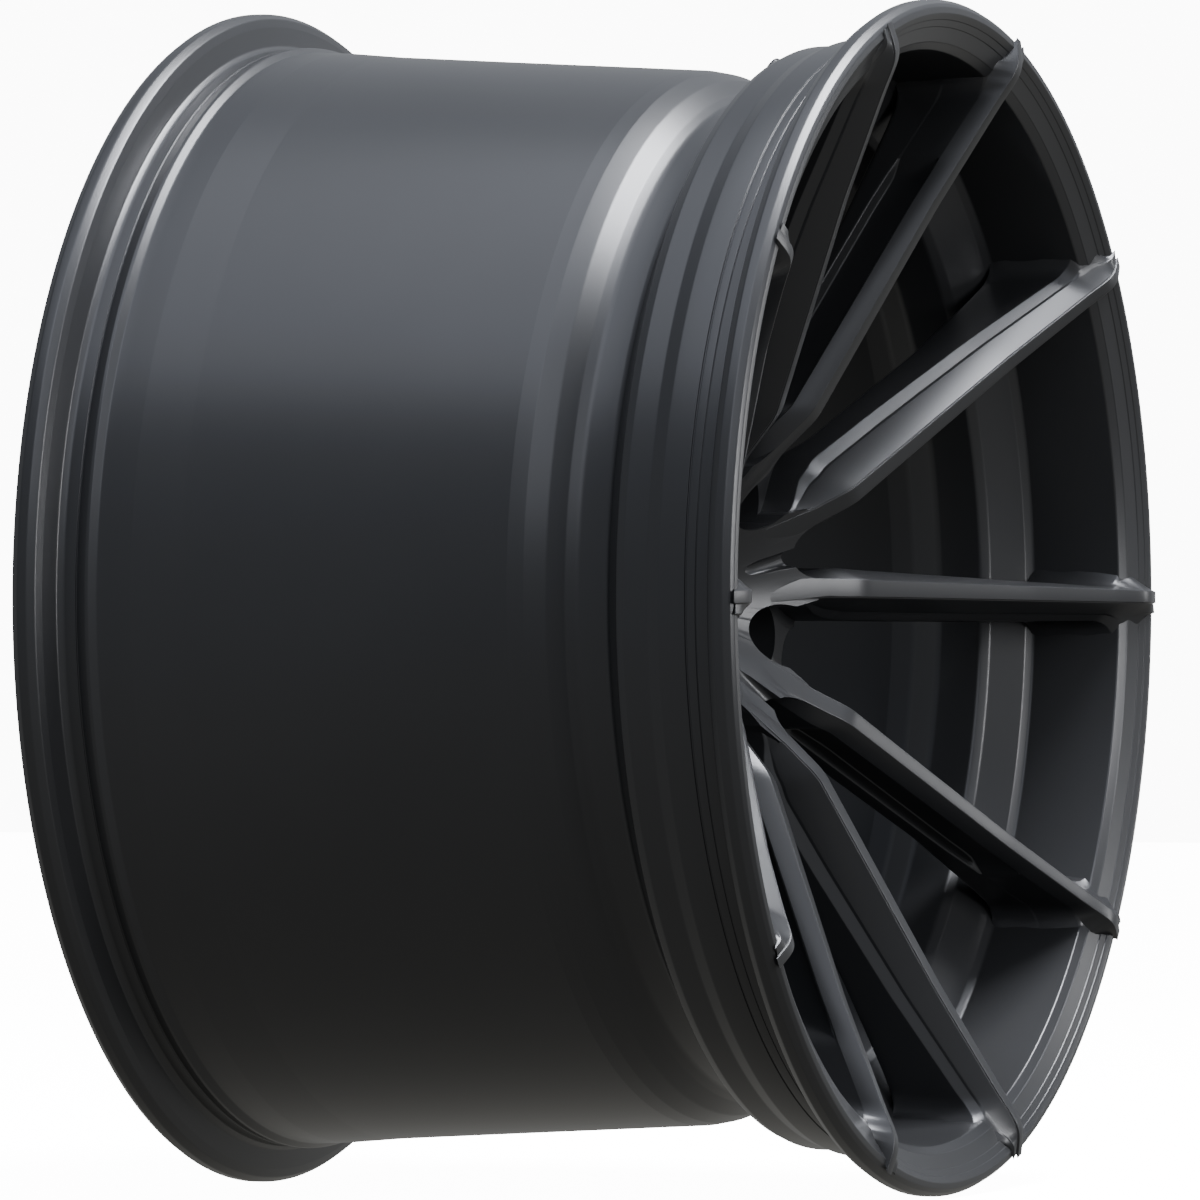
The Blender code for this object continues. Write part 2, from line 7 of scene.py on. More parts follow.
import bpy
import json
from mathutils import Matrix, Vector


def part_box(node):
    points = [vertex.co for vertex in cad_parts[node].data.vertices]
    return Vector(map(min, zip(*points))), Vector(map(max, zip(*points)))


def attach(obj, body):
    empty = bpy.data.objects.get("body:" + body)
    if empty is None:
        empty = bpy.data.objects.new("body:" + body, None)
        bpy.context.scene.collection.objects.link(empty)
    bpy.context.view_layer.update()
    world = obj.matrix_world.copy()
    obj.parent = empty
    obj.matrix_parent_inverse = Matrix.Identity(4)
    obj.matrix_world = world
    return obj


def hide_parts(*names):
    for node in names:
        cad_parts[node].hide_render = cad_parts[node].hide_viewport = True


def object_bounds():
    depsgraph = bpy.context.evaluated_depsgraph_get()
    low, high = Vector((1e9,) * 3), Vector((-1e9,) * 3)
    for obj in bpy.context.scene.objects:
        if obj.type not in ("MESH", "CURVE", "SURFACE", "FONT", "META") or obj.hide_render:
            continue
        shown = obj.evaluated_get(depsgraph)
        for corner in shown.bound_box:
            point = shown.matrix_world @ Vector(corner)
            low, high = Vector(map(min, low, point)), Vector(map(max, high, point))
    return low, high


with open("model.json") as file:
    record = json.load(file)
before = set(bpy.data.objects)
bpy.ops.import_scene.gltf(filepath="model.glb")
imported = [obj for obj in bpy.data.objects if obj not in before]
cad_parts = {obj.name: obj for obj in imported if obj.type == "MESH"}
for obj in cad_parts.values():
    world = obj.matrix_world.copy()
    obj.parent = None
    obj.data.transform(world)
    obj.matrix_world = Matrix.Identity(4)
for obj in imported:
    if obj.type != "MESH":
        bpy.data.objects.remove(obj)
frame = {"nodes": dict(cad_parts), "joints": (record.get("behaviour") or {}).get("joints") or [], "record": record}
CAD_BOUNDS = [list(corner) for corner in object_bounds()]

import json
import math

import bmesh
import bpy
from mathutils import Matrix, Vector

MM = 0.001
TO_ROW = Matrix.Rotation(math.radians(90), 4, "X")

# The driving sizes, read from the frame
FLANGE_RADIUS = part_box("barrel")[1].x / MM
HALF_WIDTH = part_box("barrel")[1].y / MM
PAD_X = -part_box("hub_sector_1")[1].y / MM
TIP_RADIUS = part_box("spoke_01")[1].x / MM

SEAT_RADIUS = 256.4
WELL_RADIUS = 230.0
WALL = 6.5
FLANGE_TOP_RADIUS = 7.4
LIP_FRONT = 173.0
RIM_STEPS = 288

SPOKE_STEP = 36.0
FIRST_LUG_ANGLE = -18.0
LUG_COUNT = 5
LUG_CIRCLE_RADIUS = 57.15
LUG_POCKET_RADIUS = 14.8
PAD_RADIUS = 75.0
PAD_FLANGE_X = 34.0
HUB_RADIUS = 95.0
HUB_TOP_RADIUS = 70.0
HUB_FACE_X = 48.5
BOSS_FACE_X = 57.5
WINDOW_INNER_RADIUS = 60.0
BORE_RADIUS = 36.3
CAP_BORE_RADIUS = 30.3
CAP_RECESS_RADIUS = 32.4
CAP_RECESS_X = 44.5
INSERT_RADIUS = 11.0
INSERT_BACK_X = 22.0
INSERT_FRONT_X = 36.0
GAP = 0.3
STUD_HOLE_RADIUS = 7.25
RING_INNER_RADIUS = 33.3
RING_LENGTH = 12.0
CAP_SKIRT_RADIUS = 30.15
CAP_BACK_X = 35.0
CAP_WEB_X = 43.0
CAP_FACE_X = 48.9
GROOVE_X = (38.0, 41.2)
GROOVE_RADIUS = 27.1
PLATE_RADIUS = 26.0
PLATE_FLOOR_X = CAP_FACE_X - 1.2

# The valve, in its own frame: origin in the wall, local Z out along the stem
SEAT_Z = 2.65
STEM_RADIUS = 4.0
STEM_LENGTH = 34.0
CORE_RADIUS = 2.4
CORE_SEAT_Z = 18.0
HEAD_RADIUS = 8.6
NUT_RADIUS = 6.9
WASHER_RADIUS = 7.8
VALVE_HOLE_RADIUS = 5.65
SPOT_FACE_RADIUS = 10.5
VALVE_CAP_RADIUS = 4.9
VALVE_CAP_OPEN_Z = 26.0
VALVE_CAP_TOP_Z = 37.6
THREAD_PITCH = 0.794

INNER_NODES = (
    "valve_core_body", "valve_core_seal", "valve_core_pin", "valve_core_spring", "valve_cap_gasket",
)
BODIES = frame["record"]["behaviour"]["bodies"]
BODY_OF = {node: body for body, nodes in BODIES.items() for node in nodes}
SLOT_OF = {row["node"]: row["material_slot"] for row in frame["record"]["subparts"]}


# Outlines -------------------------------------------------------------------------------------

def between(table, value):
    """Read a table of (key, number) pairs along straight lines."""
    for (key, number), (next_key, next_number) in zip(table, table[1:]):
        if value <= next_key:
            share = max(0.0, (value - key) / (next_key - key))
            return number + (next_number - number) * share
    return table[-1][1]


def smooth_between(table, value, reach):
    """The same, with the corners of the table eased over a distance."""
    samples = [-1.0, -0.6, -0.2, 0.2, 0.6, 1.0]
    return sum(between(table, value + reach * step) for step in samples) / len(samples)


def rounded(corners, steps, closed=True):
    """Outline through (x, y, radius) corners, each replaced by an arc of steps + 1 points."""
    points = []
    count = len(corners)
    for index, (x, y, radius) in enumerate(corners):
        here = Vector((x, y))
        if not closed and index in (0, count - 1):
            points.append((x, y))
            continue
        before = Vector(corners[index - 1][:2])
        after = Vector(corners[(index + 1) % count][:2])
        to_before = before - here
        to_after = after - here
        room = 0.49 * min(to_before.length, to_after.length)
        to_before.normalize()
        to_after.normalize()
        half = math.acos(max(-1.0, min(1.0, to_before.dot(to_after)))) / 2
        cut_back = min(radius / math.tan(half), room) if half < 1.57 else 0.0
        start = here + to_before * cut_back
        end = here + to_after * cut_back
        for step in range(steps + 1):
            share = step / steps
            # A conic through the corner's two tangent points stays close to a circular arc
            weight = math.sin(half)
            a = (1 - share) ** 2
            b = 2 * weight * share * (1 - share)
            c = share ** 2
            point = (start * a + here * b + end * c) / (a + b + c)
            points.append((point.x, point.y))
    return points


def arc(centre, radius, start, end, steps):
    angles = [math.radians(start + (end - start) * step / steps) for step in range(steps + 1)]
    return [(centre[0] + radius * math.cos(a), centre[1] + radius * math.sin(a)) for a in angles]


def spread(outline, angle):
    """Turn (along, across) points to an angle round the wheel."""
    turn = Matrix.Rotation(math.radians(angle), 2)
    return [tuple(turn @ Vector(point)) for point in outline]


# Solids ---------------------------------------------------------------------------------------

def turned(profile, steps):
    """Closed outline of (radius, height) points, spun about local Z."""
    shape = bmesh.new()
    corners = [shape.verts.new((radius, 0.0, height)) for radius, height in profile]
    pairs = zip(corners, corners[1:] + corners[:1])
    edges = [shape.edges.new(pair) for pair in pairs if any(end.co.x > 1e-6 for end in pair)]
    bmesh.ops.spin(
        shape, geom=corners + edges, cent=(0, 0, 0), axis=(0, 0, 1),
        angle=math.tau, steps=steps, use_merge=True,
    )
    bmesh.ops.dissolve_degenerate(shape, dist=0.0002, edges=shape.edges)
    return shape


def prism(outline, low, high):
    shape = bmesh.new()
    face = shape.faces.new([shape.verts.new((x, y, low)) for x, y in outline])
    made = bmesh.ops.extrude_face_region(shape, geom=[face])
    top = [item for item in made["geom"] if isinstance(item, bmesh.types.BMVert)]
    bmesh.ops.translate(shape, vec=(0, 0, high - low), verts=top)
    return shape


def loft(sections):
    shape = bmesh.new()
    rings = [[shape.verts.new(point) for point in section] for section in sections]
    shape.faces.new(rings[0])
    shape.faces.new(rings[-1])
    for ring, following in zip(rings, rings[1:]):
        for index in range(len(ring)):
            after = (index + 1) % len(ring)
            shape.faces.new((ring[index], ring[after], following[after], following[index]))
    return shape


def add_object(name, shape, place=TO_ROW):
    """A bmesh in the wheel's or the valve's frame becomes an object in the row's, in metres."""
    bmesh.ops.remove_doubles(shape, verts=shape.verts, dist=0.0005)
    bmesh.ops.recalc_face_normals(shape, faces=shape.faces)
    bmesh.ops.transform(shape, matrix=place @ Matrix.Scale(MM, 4), verts=shape.verts)
    mesh = bpy.data.meshes.new(name)
    shape.to_mesh(mesh)
    shape.free()
    obj = bpy.data.objects.new(name, mesh)
    bpy.context.scene.collection.objects.link(obj)
    return obj


def smooth(obj, angle):
    obj.data.shade_smooth()
    obj.data.set_sharp_from_angle(angle=math.radians(angle))


def join(target, others):
    """Add the other objects' meshes to the target's, and remove them."""
    shape = bmesh.new()
    for part in [target] + others:
        shape.from_mesh(part.data)
    shape.to_mesh(target.data)
    shape.free()
    for other in others:
        bpy.data.objects.remove(other)


def apply_modifiers(target):
    bpy.context.view_layer.update()
    graph = bpy.context.evaluated_depsgraph_get()
    result = bpy.data.meshes.new_from_object(target.evaluated_get(graph))
    target.modifiers.clear()
    old = target.data
    target.data = result
    bpy.data.meshes.remove(old)


def boolean(target, others, operation):
    """Apply a Boolean with each of the other objects, and remove them."""
    for other in others:
        modifier = target.modifiers.new("join", "BOOLEAN")
        modifier.operation = operation
        modifier.solver = "EXACT"
        modifier.object = other
    apply_modifiers(target)
    for other in others:
        bpy.data.objects.remove(other)


# The rim --------------------------------------------------------------------------------------

def flange(side, centre_x, angles):
    """Flange from the bead seat outwards, as (radius, x, corner radius)."""
    centre_radius = FLANGE_RADIUS - FLANGE_TOP_RADIUS
    corners = [(SEAT_RADIUS, side * 156.0, 3.0), (258.2, side * 158.6, 2.0)]
    for angle in angles:
        turn = math.radians(angle)
        radius = centre_radius + FLANGE_TOP_RADIUS * math.cos(turn)
        corners.append((radius, side * (centre_x + FLANGE_TOP_RADIUS * math.sin(turn)), 2.0))
    return corners


def rim_outline():
    """Closed (radius, x) outline of the rim. x is 0 in the centre plane, + towards the face."""
    inboard = [
        (SEAT_RADIUS, -150.2, 0.3), (SEAT_RADIUS - 0.5, -149.9, 0.2), (SEAT_RADIUS - 0.5, -149.4, 0.2),
        (SEAT_RADIUS, -149.1, 0.3), (257.3, -145.0, 1.5), (257.2, -143.6, 1.2), (254.9, -140.4, 2.0),
        (254.7, -134.0, 3.0), (254.3, -124.0, 8.0), (252.2, -100.0, 8.0),
    ]
    middle = [
        (249.4, -52.5, 10.0), (246.5, -2.2, 10.0), (243.3, 53.5, 5.0), (241.9, 61.0, 4.0),
        (238.2, 70.0, 6.0), (232.6, 77.0, 6.0), (WELL_RADIUS, 82.0, 7.0), (WELL_RADIUS, 97.0, 4.5),
        (251.2, 108.8, 3.0), (253.2, 113.2, 3.0), (253.4, 124.5, 4.0), (SEAT_RADIUS - 0.4, 131.0, 4.0),
        (SEAT_RADIUS, 143.4, 0.2), (SEAT_RADIUS - 0.5, 143.7, 0.2), (SEAT_RADIUS - 0.5, 144.2, 0.2),
        (SEAT_RADIUS, 144.5, 0.3), (SEAT_RADIUS, 148.4, 0.2), (SEAT_RADIUS - 0.4, 148.7, 0.2),
        (SEAT_RADIUS, 149.1, 0.2),
    ]
    lip = [
        (267.2, LIP_FRONT, 1.2), (264.4, 171.4, 0.2), (264.1, 170.9, 0.2), (261.2, 169.4, 0.2),
        (260.9, 168.9, 0.2), (254.4, 165.9, 0.2), (254.0, 165.4, 0.2), (250.6, 162.6, 1.6),
    ]
    inner = [
        (247.6, 120.5, 3.0), (245.0, 117.2, 3.0), (226.5, 106.2, 4.0), (WELL_RADIUS - WALL, 102.0, 4.0),
        (WELL_RADIUS - WALL, 80.5, 8.0), (235.2, 64.0, 10.0), (236.9, 52.0, 12.0), (243.0, -60.0, 20.0),
        (247.8, -124.0, 12.0), (249.4, -157.0, 6.0), (254.0, -168.0, 4.0), (259.5, -175.2, 2.5),
        (262.0, -HALF_WIDTH, 1.5),
    ]
    left = flange(-1, HALF_WIDTH - FLANGE_TOP_RADIUS, (-84, -50, -17, 17, 50, 90))[::-1]
    right = flange(1, 166.0, (-84, -50, -17, 17, 45, 62))
    return rounded(left + inboard + middle + right + lip + inner, 5)


def inner_surface():
    """(x, radius) of the rim's inner surface behind and over the lip, for the spokes to meet."""
    return [
        (104.0, 223.5), (106.2, 226.5), (117.2, 245.0), (120.5, 247.6), (162.6, 250.6),
        (169.6, 261.4), (LIP_FRONT, 267.4), (LIP_FRONT + 1.0, 276.0),
    ]


# The spokes -----------------------------------------------------------------------------------

FRONT = [
    (28.0, 44.0), (41.0, 54.5), (87.0, 95.7), (190.0, 142.0), (240.0, 167.0), (252.0, 173.6),
    (257.0, 175.6), (262.0, 175.7), (268.0, 174.6), (273.0, 173.4), (280.0, 172.0),
]
BACK = [
    (40.0, 30.0), (76.0, 30.0), (92.0, 50.0), (110.0, 66.6), (180.0, 98.5), (225.0, 113.6),
    (246.0, 119.5), (280.0, 124.0),
]
STRIP_WIDTH = [(60.0, 8.4), (111.0, 7.4), (270.0, 5.6)]
FACET_WIDTH = [
    (60.0, 0.6), (68.0, 2.4), (84.0, 5.6), (96.0, 6.6), (130.0, 6.6), (190.0, 6.3), (240.0, 5.8),
    (256.0, 5.4), (268.0, 4.5),
]
FACET_DROP = [
    (60.0, 1.0), (68.0, 5.0), (84.0, 15.0), (96.0, 17.5), (130.0, 16.5), (190.0, 12.6), (240.0, 9.3),
    (256.0, 7.5), (264.0, 1.0), (268.0, 0.4),
]
LEDGE_WIDTH = [(66.0, 0.4), (84.0, 3.0), (96.0, 3.8), (130.0, 3.6), (240.0, 3.0), (256.0, 2.0), (268.0, 0.3)]
SIDE_EDGE = [(46.0, 3.0), (80.0, 9.4), (210.0, 5.4), (262.0, 3.4)]
POCKET_DROP = 9.5
POCKET_FOOT = 29.0
POCKET_DEPTH = [(86.0, 0.0), (90.0, 5.0), (110.0, 6.4), (200.0, 5.2), (206.0, 4.4), (210.0, 0.0)]
FILLET = 10.0
BURY = 2.4


def pocket_edge(radius):
    """Lateral place of the bolt pocket's wall beside a spoke's middle line."""
    turn = math.radians(SPOKE_STEP / 2)
    reach = LUG_POCKET_RADIUS ** 2 - (radius - LUG_CIRCLE_RADIUS * math.cos(turn)) ** 2
    return LUG_CIRCLE_RADIUS * math.sin(turn) - math.sqrt(max(0.0, reach))


def spoke_corners(radius):
    """Cross-section of a spoke as (lateral, x, corner radius), the wheel-bolt side positive."""
    front = smooth_between(FRONT, radius, 3.0)
    back = smooth_between(BACK, radius, 4.0)
    shift = -(0.4 + 0.0222 * (FLANGE_RADIUS - radius))
    strip = between(STRIP_WIDTH, radius) / 2
    lug_edge = shift + strip
    if radius < 72.0:
        lug_edge = max(lug_edge, min(pocket_edge(radius) - 1.2, 4.0 * (72.0 - radius) / 26.0 + lug_edge))
    facet = lug_edge + smooth_between(FACET_WIDTH, radius, 3.0)
    drop = smooth_between(FACET_DROP, radius, 2.0)
    ledge = smooth_between(LEDGE_WIDTH, radius, 3.0)
    riser = min(1.5, 0.5 * ledge)
    side = shift - smooth_between(SIDE_EDGE, radius, 3.0)
    deep = smooth_between(POCKET_DEPTH, radius, 2.5)
    step = 1.2
    return [
        (shift - strip, front, 0.5),
        (lug_edge, front, 0.3),
        (lug_edge + 0.15, front - 0.7, 0.2),
        (lug_edge + 0.6, front - 0.8, 0.1),
        (facet, front - drop, 3.0),
        (facet + 0.25, front - drop - riser, 0.3),
        (facet + 0.35 + ledge, front - drop - riser - 1.5 * ledge - 0.1, 1.6),
        (facet + 0.9 + ledge, back, 2.0),
        (side - 0.6, back, 2.0),
        (side - 0.3, front - POCKET_FOOT - step, 0.9),
        (side - 0.1 + deep, front - POCKET_FOOT, 1.0),
        (side + deep, front - POCKET_DROP - step, 1.0),
        (side, front - POCKET_DROP, 0.6),
    ]


def spoke_section(radius, lug_side):
    outline = rounded(spoke_corners(radius), 4)
    arc_points = 5
    wall_starts = [7 * arc_points - 1, 9 * arc_points - 1, 8 * arc_points - 1, 10 * arc_points - 1]
    dense = []
    for index, here in enumerate(outline):
        dense.append(here)
        if index in wall_starts:
            after = outline[index + 1]
            dense += [tuple(a + (b - a) * step / 8 for a, b in zip(here, after)) for step in range(1, 8)]
    surface = inner_surface()
    points = []
    lowest = min(160.0, 119.0 + 41.0 * max(0.0, radius - 256.0) / 7.0)
    for lateral, x in dense:
        x = max(x, lowest) if radius > 256.0 else x
        limit = between(surface, x)
        gap = limit - radius
        if gap < FILLET and x < LIP_FRONT:
            reach = FILLET - max(gap, 0.0)
            flare = FILLET - math.sqrt(max(0.0, FILLET ** 2 - reach ** 2))
            fade = min(1.0, max(0.0, (front_gap(radius, x) - 3.0) / 10.0))
            lateral += flare * fade * (1 if lateral > 0 else -1)
        along = min(radius, limit + BURY)
        points.append((along, lug_side * lateral, x))
    return points


def front_gap(radius, x):
    return smooth_between(FRONT, radius, 3.0) - x


def spoke_stations():
    inner = [46.0 + 2.0 * step for step in range(28)]
    middle = [104.0 + 4.0 * step for step in range(31)]
    outer = [227.0 + 1.5 * step for step in range(30)]
    return inner + middle + outer + [271.5, 272.5, 273.5, 274.4, 275.0, TIP_RADIUS]


def make_spoke(index):
    lug_side = 1 if index % 2 else -1
    shape = loft([spoke_section(radius, lug_side) for radius in spoke_stations()])
    turn = Matrix.Rotation(math.radians(index * SPOKE_STEP), 4, "Z")
    bmesh.ops.transform(shape, matrix=turn, verts=shape.verts)
    return add_object(f"spoke_shape_{index + 1}", shape)


# The hub --------------------------------------------------------------------------------------

def hub_outline():
    return rounded([
        (BORE_RADIUS + 1.0, PAD_X, 0.3), (PAD_RADIUS, PAD_X, 1.0), (PAD_RADIUS + 2.0, PAD_X + 2.0, 2.0),
        (HUB_RADIUS, 47.0, 2.0), (HUB_RADIUS, BOSS_FACE_X, 0.6), (HUB_TOP_RADIUS + 2.0, BOSS_FACE_X, 1.0),
        (HUB_TOP_RADIUS, between(FRONT, HUB_TOP_RADIUS) - 0.9, 0.5),
        (50.0, between(FRONT, 50.0), 6.0), (CAP_RECESS_RADIUS + 1.6, HUB_FACE_X, 0.8),
        (CAP_RECESS_RADIUS, HUB_FACE_X - 1.0, 0.3),
        (CAP_RECESS_RADIUS, CAP_RECESS_X, 0.2), (CAP_BORE_RADIUS, CAP_RECESS_X, 0.3),
        (CAP_BORE_RADIUS, PAD_FLANGE_X, 0.3), (BORE_RADIUS, PAD_FLANGE_X, 0.3),
        (BORE_RADIUS, PAD_X + 1.0, 0.3),
    ], 3)


def lug_recess():
    round_end = arc((LUG_CIRCLE_RADIUS, 0), LUG_POCKET_RADIUS, 100, 260, 24)
    return [(110.0, 37.0), (76.0, 25.5), (66.0, 20.5), (59.0, 15.0)] + round_end + [
        (59.0, -15.0), (66.0, -20.5), (76.0, -25.5), (110.0, -37.0),
    ]


def spoke_window():
    half = math.radians(SPOKE_STEP / 2)
    wall = 9.2
    inner = WINDOW_INNER_RADIUS
    round_radius = (inner * math.sin(half) - wall) / (1 - math.sin(half))
    centre = inner + round_radius
    outer = 110.0
    reach = outer * math.tan(half) - wall / math.cos(half)
    tangent = 90 + math.degrees(half)
    return [(outer, reach)] + arc((centre, 0), round_radius, tangent, 360 - tangent, 20) + [(outer, -reach)]


def bolt_hole():
    return rounded([
        (0.0, PAD_X - 5.0, 0.0), (9.0, PAD_X - 5.0, 0.0), (9.0, INSERT_BACK_X - GAP, 0.0),
        (INSERT_RADIUS + GAP, INSERT_BACK_X - GAP, 0.0), (INSERT_RADIUS + GAP, INSERT_FRONT_X, 0.0),
        (LUG_POCKET_RADIUS, INSERT_FRONT_X, 1.5), (LUG_POCKET_RADIUS, 90.0, 0.0), (0.0, 90.0, 0.0),
    ], 2)


def trough():
    """Slanting groove with a round floor, from the hub's face out to the window between two pairs."""
    sections = []
    for along, depth in ((39.0, -1.2), (42.0, 0.6), (48.0, 2.6), (60.0, 6.2), (72.0, 9.8)):
        half_width = 3.3 + 0.04 * (along - 40.0)
        face = between(FRONT, along)
        ring = [(along, half_width + 3.0, face + 8.0), (along, -half_width - 3.0, face + 8.0)]
        for angle in range(180, 361, 15):
            turn = math.radians(angle)
            height = face - depth + half_width * (1 + math.sin(turn))
            ring.append((along, half_width * math.cos(turn), height))
        sections.append(ring)
    return loft(sections)


def make_hub():
    hub = add_object("hub_shape", turned(hub_outline(), 200))
    cutters = []
    for index in range(LUG_COUNT):
        angle = FIRST_LUG_ANGLE + index * 2 * SPOKE_STEP
        cutters.append(add_object("recess", prism(spread(lug_recess(), angle), BOSS_FACE_X, 110.0)))
        window = spread(spoke_window(), angle + SPOKE_STEP)
        cutters.append(add_object("window", prism(window, PAD_FLANGE_X, 110.0)))
        hole = turned(bolt_hole(), 64)
        centre = spread([(LUG_CIRCLE_RADIUS, 0.0)], angle)[0]
        bmesh.ops.translate(hole, vec=(centre[0], centre[1], 0), verts=hole.verts)
        cutters.append(add_object("hole", hole))
        mouth = spread(arc((99.0, 0.0), 17.0, 0, 348.75, 31), angle)
        cutters.append(add_object("mouth", prism(mouth, 0.0, 110.0)))
        groove = trough()
        turn = Matrix.Rotation(math.radians(angle + SPOKE_STEP), 4, "Z")
        bmesh.ops.transform(groove, matrix=turn, verts=groove.verts)
        cutters.append(add_object("groove", groove))
    boolean(hub, cutters, "DIFFERENCE")
    bevel = hub.modifiers.new("edges", "BEVEL")
    bevel.width = 1.6 * MM
    bevel.segments = 4
    bevel.limit_method = "ANGLE"
    bevel.angle_limit = math.radians(38)
    bevel.harden_normals = False
    apply_modifiers(hub)
    return hub


# Materials ------------------------------------------------------------------------------------

def finish(name, colour, roughness, metallic, varied=0.10, grain=900.0, relief=0.04, rings=0.0):
    """Procedural finish: slow mottling in the colour, fine grain in roughness and relief."""
    made = bpy.data.materials.new(name)
    made.use_nodes = True
    nodes = made.node_tree.nodes
    links = made.node_tree.links
    shader = nodes["Principled BSDF"]
    shader.inputs["Metallic"].default_value = metallic
    place = nodes.new("ShaderNodeTexCoord")
    mottle = nodes.new("ShaderNodeTexNoise")
    mottle.inputs["Scale"].default_value = 18.0
    mottle.inputs["Detail"].default_value = 5.0
    links.new(place.outputs["Object"], mottle.inputs["Vector"])
    blend = nodes.new("ShaderNodeMix")
    blend.data_type = "RGBA"
    blend.inputs["A"].default_value = (*[channel * (1 - varied) for channel in colour], 1.0)
    blend.inputs["B"].default_value = (*[channel * (1 + varied) for channel in colour], 1.0)
    links.new(mottle.outputs["Fac"], blend.inputs["Factor"])
    links.new(blend.outputs["Result"], shader.inputs["Base Color"])
    fine = nodes.new("ShaderNodeTexNoise")
    fine.inputs["Scale"].default_value = grain
    fine.inputs["Detail"].default_value = 3.0
    links.new(place.outputs["Object"], fine.inputs["Vector"])
    gloss = nodes.new("ShaderNodeMapRange")
    gloss.inputs["To Min"].default_value = roughness * (1 - varied)
    gloss.inputs["To Max"].default_value = roughness * (1 + varied)
    links.new(fine.outputs["Fac"], gloss.inputs["Value"])
    links.new(gloss.outputs["Result"], shader.inputs["Roughness"])
    bump = nodes.new("ShaderNodeBump")
    bump.inputs["Strength"].default_value = relief
    bump.inputs["Distance"].default_value = 0.0001
    links.new(fine.outputs["Fac"], bump.inputs["Height"])
    links.new(bump.outputs["Normal"], shader.inputs["Normal"])
    if rings:
        lathe = nodes.new("ShaderNodeTexWave")
        lathe.wave_type = "RINGS"
        lathe.rings_direction = "Y"
        lathe.inputs["Scale"].default_value = rings
        lathe.inputs["Distortion"].default_value = 0.4
        links.new(place.outputs["Object"], lathe.inputs["Vector"])
        lines = nodes.new("ShaderNodeBump")
        lines.inputs["Strength"].default_value = 0.10
        lines.inputs["Distance"].default_value = 0.0001
        links.new(lathe.outputs["Fac"], lines.inputs["Height"])
        links.new(bump.outputs["Normal"], lines.inputs["Normal"])
        links.new(lines.outputs["Normal"], shader.inputs["Normal"])
    return made


LOOKS = {
    "forging_paint": finish("satin_gunmetal", (0.030, 0.031, 0.034), 0.33, 0.6, 0.06, 1400.0, 0.02),
    "insert_steel": finish("turned_steel", (0.42, 0.42, 0.43), 0.28, 1.0, 0.12, 1200.0, 0.05, 900.0),
    "ring_aluminium": finish("turned_aluminium", (0.60, 0.61, 0.62), 0.27, 1.0, 0.10, 1200.0, 0.05, 700.0),
    "cap_paint": finish("cap_gunmetal", (0.030, 0.031, 0.034), 0.30, 0.6, 0.06, 1400.0, 0.02),
    "plate_satin": finish("dark_anodised", (0.10, 0.10, 0.11), 0.36, 0.9, 0.08, 1600.0, 0.04, 500.0),
    "seal_rubber": finish("rubber", (0.012, 0.012, 0.012), 0.72, 0.0, 0.20, 700.0, 0.20),
    "valve_black": finish("black_anodised", (0.016, 0.016, 0.018), 0.34, 0.8, 0.08, 1500.0, 0.04),
    "valve_steel": finish("plated_steel", (0.40, 0.40, 0.41), 0.30, 1.0, 0.12, 1500.0, 0.05),
    "core_brass": finish("brass", (0.60, 0.43, 0.19), 0.28, 1.0, 0.12, 1500.0, 0.05),
    "cap_plastic": finish("moulded_plastic", (0.016, 0.016, 0.018), 0.46, 0.0, 0.10, 1200.0, 0.10),
}


# The scene ------------------------------------------------------------------------------------

def make_forging(place):
    rim = add_object("forging", turned(rim_outline(), RIM_STEPS))
    boolean(rim, valve_cutters(place), "DIFFERENCE")
    hub = make_hub()
    spokes = [make_spoke(index) for index in range(2 * LUG_COUNT)]
    join(rim, [hub] + spokes)
    rim.data.materials.clear()
    sectors = [f"hub_sector_{index + 1}" for index in range(LUG_COUNT)]
    spoke_nodes = [f"spoke_{index + 1:02d}" for index in range(2 * LUG_COUNT)]
    stand_for(rim, 28, "barrel", *sectors, *spoke_nodes)


def stand_for(piece, angle, *nodes):
    """Give a piece the body, slot and finish of the CAD nodes that it replaces."""
    smooth(piece, angle)
    piece.data.materials.append(LOOKS[SLOT_OF[nodes[0]]])
    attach(piece, BODY_OF[nodes[0]])
    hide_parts(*nodes)


def valve_place():
    """The valve's frame in the row's frame, from its cap's joint."""
    joint = next(joint for joint in frame["joints"] if joint["name"] == "valve_cap_turn")
    origin = Vector(joint["pos_m"])
    out = Vector(joint["axis"])
    side = Vector((origin.x, 0.0, origin.z)).normalized().cross(Vector((0, -1, 0)))
    place = Matrix((side, out.cross(side), out)).transposed().to_4x4()
    place.translation = origin
    return place


def valve_cutters(place):
    hole = turned([(0.0, -14.0), (VALVE_HOLE_RADIUS, -14.0), (VALVE_HOLE_RADIUS, 14.0), (0.0, 14.0)], 48)
    cutters = [add_object("valve_hole", hole, place)]
    for low, high in ((-11.0, -SEAT_Z), (SEAT_Z, 11.0)):
        face = turned([(0.0, low), (SPOT_FACE_RADIUS, low), (SPOT_FACE_RADIUS, high), (0.0, high)], 64)
        cutters.append(add_object("spot_face", face, place))
    return cutters


